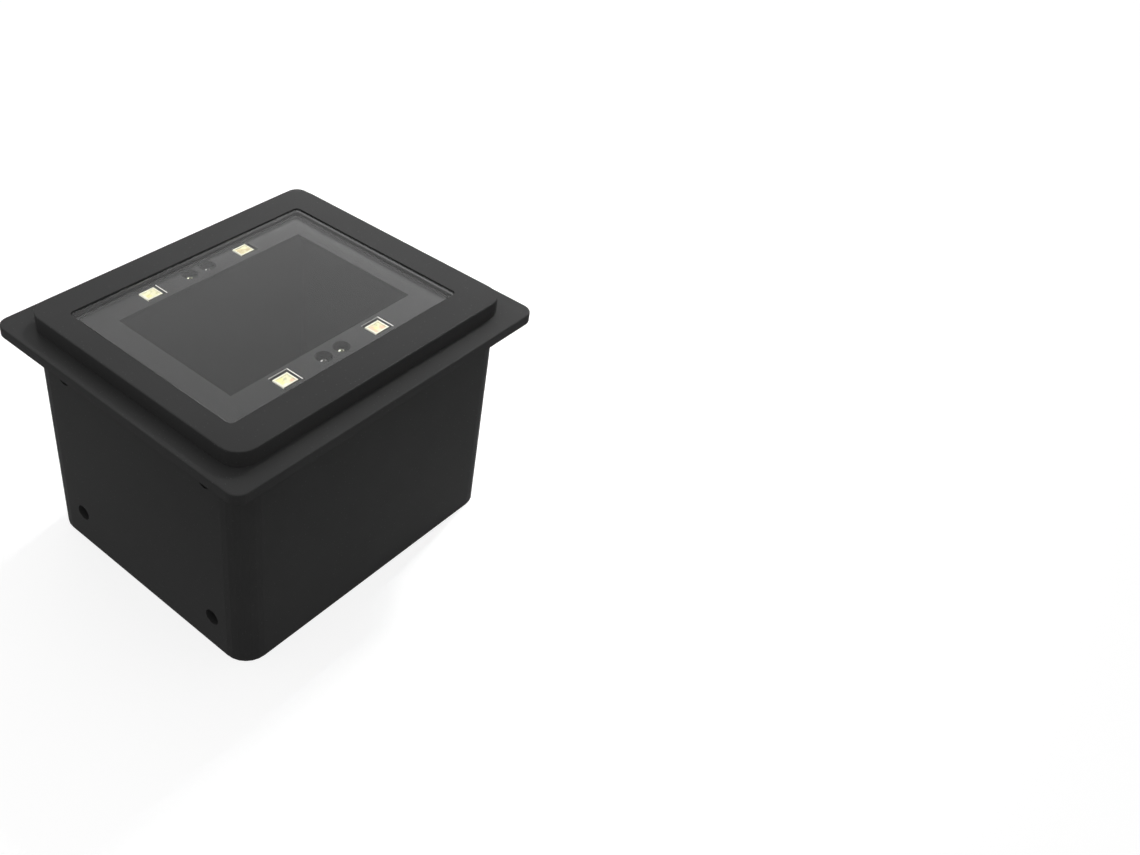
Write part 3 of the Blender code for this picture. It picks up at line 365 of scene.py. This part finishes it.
def window_material():
    """Clear pane that lets the lamps through, with ground sides that carry a painted glow, stronger to
    the right; those facing x have a painted highlight line.
    """
    g = Graph("window_clear")
    where, x, y, z = g.place()
    nx, _, nz = g.facing()
    smear = g.noise(where, 40.0, 3.0)
    wipe = g.noise(g.vector(x * 3.0, y * 0.6, z), 160.0, 2.0)
    side = 1.0 - abs(nz).above(0.5, 0.8)
    # painted glow: the pane's sides emit light, more towards the right, and most along a painted
    # highlight line on the sides facing x
    painted_glow_to_right = (x - SEAL[LOW][0]).above(GLOW_FADE_LOW, GLOW_FADE_HIGH)
    line = (GLASS[HIGH][2] - z - HIGHLIGHT_LINE_DEPTH).within(HIGHLIGHT_LINE_HALF, HIGHLIGHT_LINE_SOFT)
    painted_highlight_line = line * abs(nx).above(0.5, 0.8)
    painted_glow = side * painted_glow_to_right * (0.3 + 0.7 * painted_highlight_line)
    rough = 0.004 + 0.006 * smear.above(0.55, 0.8) + 0.002 * wipe + 0.95 * side
    glass = g.principled(
        Base_Color=g.blend(side, 0.975, 0.05), Roughness=rough, IOR=1.35, Transmission_Weight=1.0,
        Emission_Color=g.blend(painted_glow, 0.0, 0.13), Emission_Strength=1.0)
    clear = g.node("BsdfTransparent", inputs={"Color": colour((0.93, 0.94, 0.94))})
    return g.surface(g.mix(g.wire("LightPath", output="Is Shadow Ray"), glass, clear))


def seal_material():
    """Black foam with open pores."""
    g = Graph("foam_seal")
    where = g.place()[0]
    pores = g.cells(where, 3800.0)
    fibre = g.noise(where, 900.0, 4.0)
    return g.surface(g.principled(
        Base_Color=g.blend(fibre, 0.004, 0.012), Roughness=0.7 + 0.2 * fibre, Specular_IOR_Level=0.05,
        Normal=g.bump(pores, 0.4, 0.08 * MM)))


def mask_print_and_painted_light(g, where, x, y):
    """The mask's grey print with painted light: paler to the right and along the far sides, and painted
    shade at the far rim.
    """
    cloud = g.noise(where, 45.0, 2.0)
    # painted light: the grey grows paler towards the right
    painted_light_fade = (x / (MASK[HIGH][0] - MASK[LOW][0]) + 0.5).above(0.1, 1.0)
    far_rim = (MASK[HIGH][0] - x).least(MASK[HIGH][1] - y)
    grey = g.blend(painted_light_fade * 0.9 + cloud * 0.1, 0.019, 0.036)
    # painted light: a paler band along the far sides
    grey = g.blend(painted_light_fade * (1.0 - far_rim.above(*PAINTED_LIGHT_BAND)) * 0.6, grey, 0.070)
    # painted shade: a dark line at the far rim
    return g.blend(1.0 - far_rim.above(*PAINTED_SHADE_RIM), grey, 0.006)


def mask_core_and_painted_glow(x, y, z, nx, ny):
    """How much of the white middle layer and its painted glow show: only round the square lights,
    brightest on the sides facing x, which is painted light.
    """
    depth = (z - MASK[HIGH][2]).above(-CORE_BOTTOM, -CORE_TOP)
    reach_x = half(FIRST_LED, 0) + LED_EDGE_REACH
    reach_y = half(FIRST_LED, 1) + LED_EDGE_REACH
    beside_x = (abs(x - LED_CENTRE[0]) - LED_OFFSET[0]).within(reach_x, LED_EDGE_SOFT)
    beside_y = (abs(y - LED_CENTRE[1]) - LED_OFFSET[1]).within(reach_y, LED_EDGE_SOFT)
    back = (y - LED_CENTRE[1]).above(0.0, QUARTER_SOFT)
    right = (x - LED_CENTRE[0]).above(0.0, QUARTER_SOFT)
    # painted light: the edges facing x are made brightest, the back right quarter and the edges facing y
    # dimmer
    painted_light = abs(nx) * (1.0 - 0.9 * back * right) + abs(ny) * (0.36 - 0.10 * right - 0.26 * back)
    return depth * beside_x * beside_y * painted_light


def mask_material():
    """Grey printed sheet whose white middle layer shows along the cut edges round the square lights, with
    a painted glow there.
    """
    g = Graph("mask_grey")
    where, x, y, z = g.place()
    nx, ny, nz = g.facing()
    upright = 1.0 - abs(nz).above(0.3, 0.6)
    core_and_painted_glow = mask_core_and_painted_glow(x, y, z, nx, ny)
    paper = g.noise(where, 2600.0, 3.0)
    return g.surface(g.principled(
        Base_Color=g.blend(upright, mask_print_and_painted_light(g, where, x, y), g.blend(core_and_painted_glow, 0.012, 0.88)),
        Roughness=0.34 + 0.04 * paper, Specular_IOR_Level=0.12,
        # painted glow: the cut edges round the square lights emit light, though no lamp is there
        Emission_Color=g.blend(upright * core_and_painted_glow, 0.0, (1.0, 0.97, 0.92)), Emission_Strength=0.7,
        Normal=g.bump(paper, 0.012, 0.04 * MM)))


def board_tone(tone, depth):
    """A solder resist colour; a low depth takes it to nearly black, which is painted shade."""
    return tuple(0.008 + depth * (part - 0.008) for part in tone)


def board_material(name, along_x, depth=1.0):
    """Green solder resist over copper tracks, with bare fibre at the edge."""
    g = Graph(name)
    where, x, y, z = g.place()
    side = 1.0 - abs(g.facing()[2]).above(0.4, 0.6)
    across = y if along_x else x
    wander = g.noise(g.vector(x * 0.6, y * 0.6, z), 90.0, 0.0)
    lane = (across / TRACK_PITCH + 1.6 * wander).part()
    track = (lane - 0.5).within(0.16, 0.04) * g.noise(where, 120.0, 0.0).above(0.42, 0.45)
    pads = 1.0 - g.cells(g.vector(x, y, z * 0.0), 420.0).above(0.10, 0.14)
    copper = track.most(pads)
    weave = crossed(x, y, 5200.0)
    resist = g.blend(
        weave * 0.5, board_tone((0.006, 0.055, 0.026), depth), board_tone((0.010, 0.072, 0.034), depth))
    resist = g.blend(copper, resist, board_tone((0.022, 0.125, 0.048), depth))
    layers = g.noise(g.vector(x * 0.2, y * 0.2, z * 6.0), 2600.0, 2.0)
    fibre = g.blend(layers, (0.30, 0.30, 0.16), (0.42, 0.40, 0.24))
    return g.surface(g.principled(
        Base_Color=g.blend(side, resist, fibre),
        Roughness=0.30 + 0.35 * side + 0.05 * weave, Specular_IOR_Level=0.5 * depth,
        Normal=g.bump(copper, 0.5, 0.04 * MM)))


def led_field(g, where, u, v, marks):
    """Phosphor with soft spots of other colours, and a die and its bond wire under it."""
    grain = g.noise(where, 3000.0, 3.0)
    cloud = g.noise(where, 1300.0, 2.0)
    field = g.blend(grain, scaled(CREAM, 0.92), CREAM)
    for mark_u, mark_v, radius, tone in marks:
        away = reach(u - mark_u, v - mark_v) + 0.5 * (cloud - 0.5)
        field = g.blend(1.0 - away.above(0.5 * radius, 1.2 * radius), field, tone)
    die = (u - 0.12).within(0.20, 0.04) * (v + 0.12).within(0.24, 0.04)
    bond = (v - 0.5 * u - 0.30).within(0.05, 0.03) * u.within(0.45, 0.05)
    field = g.blend(die * 0.2, field, (0.80, 0.78, 0.62))
    return g.blend(bond * 0.35, field, (0.42, 0.40, 0.22))


def led_material(name, node, marks, rim):
    """Cream package round a phosphor field, with a painted shade outline of width rim on two sides."""
    g = Graph(name)
    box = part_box(node)
    where, x, y, z = g.place()
    u = (x - middle(box, 0)) / half(box, 0)
    v = (y - middle(box, 1)) / half(box, 1)
    grain = g.noise(where, 3000.0, 3.0)
    package = g.blend(grain, (0.72, 0.70, 0.56), (0.80, 0.79, 0.66))
    base = g.blend(u.within(0.80, 0.08) * v.within(0.76, 0.08), package, led_field(g, where, u, v, marks))
    # painted shade: a dark outline on the right and near sides, where the gap beside the light lies in
    # shadow
    painted_shade_near_side = 1.0 - v.above(0.4 * rim - 1.0, 0.4 * rim - 0.98)
    base = g.blend(u.above(1.0 - rim, 1.02 - rim).most(painted_shade_near_side), base, (0.05, 0.05, 0.02))
    upper = (z - box[HIGH][2]).above(-LED_LENS_BOTTOM, -LED_LENS_TOP)
    base = g.blend(upper, (0.03, 0.03, 0.028), base)
    return g.surface(g.principled(
        Base_Color=base, Roughness=0.30 + 0.15 * grain, Emission_Color=base, Emission_Strength=0.34,
        Normal=g.bump(grain, 0.2, 0.05 * MM)))


def dome_material(name, node, tint, highlight_spot_at, highlight_ring_radius, glint):
    """Clear epoxy over a small cup, with a painted highlight: a glowing spot on one side and a painted
    glint along the cup's rim on the other.
    """
    g = Graph(name)
    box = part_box(node)
    where, x, y = g.place()[:3]
    u = (x - middle(box, 0)) / MM
    v = (y - middle(box, 1)) / MM
    away = reach(u, v)
    swirl = g.noise(where, 1500.0, 2.0)
    # painted highlight: the spot and the ring emit light in place of reflections
    painted_spot = 1.0 - reach(u - highlight_spot_at[0], v - highlight_spot_at[1]).above(0.13, 0.27)
    painted_ring = (away - highlight_ring_radius).within(0.07, 0.04) * (u + 0.3 * v).above(0.0, 0.2)
    cup = 1.0 - away.above(0.45, 0.95)
    painted_light = g.blend(painted_ring, 0.0, scaled(glint, 0.35))
    return g.surface(g.principled(
        Base_Color=g.blend(cup, (0.020, 0.020, 0.018), tint), Roughness=0.12 + 0.05 * swirl,
        Specular_IOR_Level=0.1, Emission_Color=g.blend(painted_spot, painted_light, glint), Emission_Strength=1.7,
        Normal=g.bump(swirl, 0.06, 0.05 * MM)))


def shroud_material(name, tone):
    """Matte black moulding with fine drag lines down its walls."""
    g = Graph(name)
    where, x, y, z = g.place()
    fine = g.noise(where, 3300.0, 3.0)
    drag = g.noise(g.vector(x, y, z * 0.04), 1500.0, 2.0)
    cloud = g.noise(where, 70.0, 2.0)
    return g.surface(g.principled(
        Base_Color=g.blend(cloud, tone * 0.8, tone * 1.2), Roughness=0.62 + 0.2 * cloud,
        Specular_IOR_Level=0.42, Normal=g.bump(fine * 0.5 + drag * 0.5, 0.02, 0.03 * MM)))


def chip_material(name, tone):
    """Black epoxy, slightly clouded and pitted."""
    g = Graph(name)
    where = g.place()[0]
    fine = g.noise(where, 4200.0, 3.0)
    cloud = g.noise(where, 120.0, 2.0)
    return g.surface(g.principled(
        Base_Color=g.blend(cloud, tone * 0.8, tone * 1.25), Roughness=0.42 + 0.2 * fine,
        Normal=g.bump(fine, 0.25, 0.05 * MM)))


def sensor_material():
    """Dark frame round an active field under its cover glass."""
    g = Graph("image_sensor_field")
    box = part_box("image_sensor")
    where, x, y = g.place()[:3]
    inside_x = (x - middle(box, 0)).within(SENSOR_HALF_LENGTH, SENSOR_SOFT)
    inside_y = (y - middle(box, 1)).within(SENSOR_HALF_WIDTH, SENSOR_SOFT)
    field = inside_x * inside_y
    active = g.blend(crossed(x, y, 20000.0), (0.05, 0.035, 0.07), (0.03, 0.07, 0.08))
    return g.surface(g.principled(
        Base_Color=g.blend(field, 0.03, active), Roughness=0.22 - 0.14 * field, Coat_Weight=0.8,
        Normal=g.bump(g.noise(where, 2500.0), 0.05, 0.03 * MM)))


def barrel_material():
    """Black anodised aluminium with turned grooves."""
    g = Graph("lens_barrel_anodised")
    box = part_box("lens_barrel")
    where, x, y, z = g.place()
    turning = (from_axis(x, y, box) * 42000.0).wave()
    grooves = ((z - box[LOW][2]) * 12000.0).wave()
    cloud = g.noise(where, 300.0, 2.0)
    return g.surface(g.principled(
        Base_Color=g.blend(cloud, 0.018, 0.032), Metallic=0.35 + 0.1 * cloud,
        Roughness=0.28 + 0.12 * turning, Normal=g.bump(turning * 0.4 + grooves * 0.6, 0.35, 0.08 * MM)))


def lens_material():
    """Dark multi-coated front element."""
    g = Graph("front_lens_coated")
    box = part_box("front_lens")
    where, x, y = g.place()[:3]
    away = from_axis(x, y, box) / half(box, 0)
    rim = away.above(0.90, 0.95)
    dust = g.noise(where, 900.0, 3.0)
    base = g.blend(away.above(0.42, 0.47), (0.004, 0.004, 0.006), (0.018, 0.016, 0.030))
    return g.surface(g.principled(
        Base_Color=g.blend(rim, base, 0.010), Roughness=0.03 + 0.05 * rim + 0.02 * dust, IOR=1.6,
        Coat_Weight=1.0, Coat_Roughness=0.02, Coat_Tint=(0.62, 0.55, 0.95)))


def screw_material(name, node, tone):
    """Plated steel, turned rings on the head and lines round the shank."""
    g = Graph(name)
    where, x, y, z = g.place()
    rings = (from_axis(x, y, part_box(node)) * 30000.0).wave()
    helix = (z * 9500.0).wave()
    stain = g.noise(where, 700.0, 3.0)
    return g.surface(g.principled(
        Base_Color=g.blend(stain, scaled(tone, 0.82), tone), Metallic=0.9 + 0.1 * stain,
        Roughness=0.24 + 0.14 * stain, Normal=g.bump(rings * 0.3 + helix * 0.7, 0.3, 0.06 * MM)))


def cable_material():
    """Amber film over flat copper conductors."""
    g = Graph("flat_cable_film")
    where, _, y = g.place()[:3]
    copper = ((y / CONDUCTOR_PITCH).part() - 0.5).within(0.28, 0.05)
    cloud = g.noise(where, 260.0, 2.0)
    film = g.blend(cloud, (0.46, 0.20, 0.03), (0.58, 0.28, 0.05))
    return g.surface(g.principled(
        Base_Color=g.blend(copper, film, (0.72, 0.36, 0.10)), Roughness=0.26 + 0.1 * cloud,
        Coat_Weight=0.4, Normal=g.bump(copper, 0.35, 0.05 * MM)))


def connector_material():
    """Ivory nylon housing with a row of contact slots."""
    g = Graph("connector_nylon")
    where, _, y = g.place()[:3]
    slot = ((y / CONDUCTOR_PITCH).part() - 0.5).within(0.22, 0.03) * abs(g.facing()[0]).above(0.5, 0.7)
    cloud = g.noise(where, 400.0, 2.0)
    nylon = g.blend(cloud, (0.62, 0.56, 0.43), (0.72, 0.67, 0.54))
    return g.surface(g.principled(
        Base_Color=g.blend(slot, nylon, (0.10, 0.08, 0.05)), Roughness=0.4 + 0.1 * cloud,
        Normal=g.bump(1.0 - slot, 0.4, 0.08 * MM)))


def contact_material():
    """Gold-plated spring wire, worn paler where the plug rubs."""
    g = Graph("contact_gold")
    where = g.place()[0]
    wear = g.noise(where, 2400.0, 3.0)
    return g.surface(g.principled(
        Base_Color=g.blend(wear, (0.83, 0.60, 0.22), (0.93, 0.72, 0.34)), Metallic=0.95 + 0.05 * wear,
        Roughness=0.18 + 0.14 * wear, Normal=g.bump(wear, 0.1, 0.04 * MM)))


def floor_material():
    """Pale and glowing from above; clear from below and to what stands on it, to show the underside."""
    g = Graph("floor_pale")
    grain = g.noise(g.place()[0], 60.0, 2.0)
    tone = g.blend(grain, FLOOR_TONE * 0.99, FLOOR_TONE)
    matte = g.principled(Base_Color=tone, Roughness=0.7 + 0.05 * grain)
    light = g.node("LightPath").outputs
    seen = Wire(g, light["Is Camera Ray"]) + Wire(g, light["Is Glossy Ray"])
    seen = seen + Wire(g, light["Is Transmission Ray"])
    glow = g.node("Emission", inputs={"Color": colour(1.0), "Strength": seen.least(1.0) * FLOOR_LIFT})
    solid = g.node("AddShader")
    g.tree.links.new(matte.outputs[0], solid.inputs[0])
    g.tree.links.new(glow.outputs[0], solid.inputs[1])
    touching = 1.0 - Wire(g, light["Ray Length"]).above(FLOOR_CLEAR_TO, FLOOR_SOLID_FROM)
    below = g.wire("NewGeometry", output="Backfacing")
    return g.surface(g.mix(touching.most(below), solid, g.node("BsdfTransparent")))


def dress(node, material):
    """Gives a CAD node one material."""
    slots = NODES[node].data.materials
    slots.clear()
    slots.append(material)


def new_piece(name, bm, material):
    """A mesh piece of the scene that belongs to the part."""
    mesh = bpy.data.meshes.new(name)
    bm.to_mesh(mesh)
    bm.free()
    mesh.shade_smooth()
    mesh.set_sharp_from_angle(angle=SHARP_ANGLE)
    made = bpy.data.objects.new(name, mesh)
    mesh.materials.append(material)
    bpy.context.scene.collection.objects.link(made)
    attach(made, "root")


def dress_case():
    """The moulded case, the window and what lies under it."""
    dress("housing", moulded_black("housing_moulded", 0.058, 1.0))
    dress("base_plate", moulded_black("base_moulded", 0.050, 0.9))
    dress("window_glass", window_material())
    dress("window_seal", seal_material())
    dress("illumination_mask", mask_material())
    dress("light_shroud", shroud_material("shroud_matte", 0.012))


def dress_electronics():
    """Boards, chips, camera, connectors and the flat cable."""
    chip = chip_material("chip_epoxy", 0.022)
    connector = connector_material()
    # painted shade: the light board under the mask is taken to nearly black
    dress("light_board", board_material("light_board_resist", True, 0.08))
    dress("main_board", board_material("main_board_resist", False))
    dress("camera_board", board_material("camera_board_resist", True))
    dress("lens_holder", shroud_material("holder_matte", 0.014))
    dress("lens_barrel", barrel_material())
    dress("front_lens", lens_material())
    dress("image_sensor", sensor_material())
    dress("cable_socket", chip_material("socket_moulded", 0.016))
    dress("light_cable", cable_material())
    for node in ("decoder_chip", "memory_chip", "power_coil", "buzzer"):
        dress(node, chip)
    for node in ("camera_connector", "light_connector_upper", "light_connector_lower"):
        dress(node, connector)


def dress_lights():
    """The square lights and the domes, each with its own marks."""
    for place in SQUARE_LEDS:
        square, dome = f"square_led_{place}", f"dome_led_{place}"
        dress(square, led_material(f"led_{place}", square, *SQUARE_LEDS[place]))
        dress(dome, dome_material(f"dome_{place}", dome, *DOME_LEDS[place]))


def dress_screws():
    """Plated screws, the ones in the base plate darker."""
    for node in NODES:
        if "screw" in node:
            dress(node, screw_material(f"{node}_plated", node, DARK_STEEL if "base" in node else STEEL))


def socket_contacts():
    """Spring wires that slope through the cable socket's mouth."""
    gold = contact_material()
    rise = CONTACT_TOP - CONTACT_BOTTOM
    tilt = Matrix.Rotation(math.atan2(CONTACT_LEAN, rise), 3, "Y")
    x = SOCKET[LOW][0] + CONTACT_INSET
    z = SOCKET[LOW][2] + (CONTACT_BOTTOM + CONTACT_TOP) / 2
    for number in range(CONTACT_COUNT):
        y = middle(SOCKET, 1) + (number - (CONTACT_COUNT - 1) / 2) * CONTACT_PITCH
        bm = bmesh.new()
        bmesh.ops.create_cube(bm, size=1.0)
        lengths = (CONTACT_THICKNESS, CONTACT_THICKNESS, math.hypot(rise, CONTACT_LEAN))
        bmesh.ops.scale(bm, vec=lengths, verts=bm.verts)
        bmesh.ops.rotate(bm, cent=(0, 0, 0), matrix=tilt, verts=bm.verts)
        bmesh.ops.translate(bm, vec=(x, y, z), verts=bm.verts)
        new_piece(f"socket_contact_{number + 1}", bm, gold)


def make_floor():
    """A flat floor just under the object."""
    bm = bmesh.new()
    bmesh.ops.create_grid(bm, x_segments=1, y_segments=1, size=FLOOR_SIZE)
    bmesh.ops.translate(bm, vec=(0.0, 0.0, -FLOOR_GAP), verts=bm.verts)
    mesh = bpy.data.meshes.new("floor")
    bm.to_mesh(mesh)
    bm.free()
    floor = bpy.data.objects.new("floor", mesh)
    mesh.materials.append(floor_material())
    bpy.context.scene.collection.objects.link(floor)


def make_room():
    """Even pale surroundings, white where the camera, gloss and glass see them."""
    world = bpy.data.worlds.new("room")
    bpy.context.scene.world = world
    world.use_nodes = True
    tree = world.node_tree
    tree.nodes.clear()
    light = tree.nodes.new("ShaderNodeLightPath").outputs
    seen = light["Is Camera Ray"]
    for kind in ("Is Glossy Ray", "Is Transmission Ray"):
        either = tree.nodes.new("ShaderNodeMath")
        either.operation = "MAXIMUM"
        tree.links.new(seen, either.inputs[0])
        tree.links.new(light[kind], either.inputs[1])
        seen = either.outputs[0]
    strength = tree.nodes.new("ShaderNodeMapRange")
    strength.inputs["To Min"].default_value = ROOM_LIGHT
    strength.inputs["To Max"].default_value = ROOM_SEEN
    tree.links.new(seen, strength.inputs["Value"])
    room = tree.nodes.new("ShaderNodeBackground")
    room.inputs["Color"].default_value = colour(1.0)
    tree.links.new(strength.outputs[0], room.inputs["Strength"])
    output = tree.nodes.new("ShaderNodeOutputWorld")
    tree.links.new(room.outputs[0], output.inputs["Surface"])


def softbox(name, place, size, watts, aim=(0.0, 0.0, 0.03), spread=180.0):
    """An area lamp; a small spread keeps its light to a soft pool round the aim."""
    lamp = bpy.data.lights.new(name, "AREA")
    lamp.shape = "RECTANGLE"
    lamp.size, lamp.size_y = size
    lamp.energy = watts
    lamp.spread = math.radians(spread)
    made = bpy.data.objects.new(name, lamp)
    made.location = place
    made.rotation_euler = (Vector(aim) - Vector(place)).to_track_quat("-Z", "Y").to_euler()
    bpy.context.scene.collection.objects.link(made)


def make_camera():
    """The photograph's viewing angle."""
    camera = bpy.data.cameras.new("camera")
    camera.sensor_fit = "HORIZONTAL"
    camera.sensor_width = CAMERA_SENSOR
    camera.lens = CAMERA_LENS
    camera.shift_x = CAMERA_SHIFT
    camera.clip_start = CAMERA_NEAR
    made = bpy.data.objects.new("camera", camera)
    turn = Matrix.Rotation(-CAMERA_YAW, 4, "Z")
    lean = Matrix.Rotation(math.pi / 2 - CAMERA_PITCH, 4, "X")
    roll = Matrix.Rotation(CAMERA_ROLL, 4, "Z")
    made.matrix_world = Matrix.Translation(CAMERA_PLACE) @ turn @ lean @ roll
    bpy.context.scene.collection.objects.link(made)
    bpy.context.scene.camera = made


bpy.context.scene.view_settings.view_transform = "Standard"
dress_case()
dress_electronics()
dress_lights()
dress_screws()
socket_contacts()
make_floor()
make_room()
softbox("overhead", **OVERHEAD)
softbox("pool", **POOL)
make_camera()
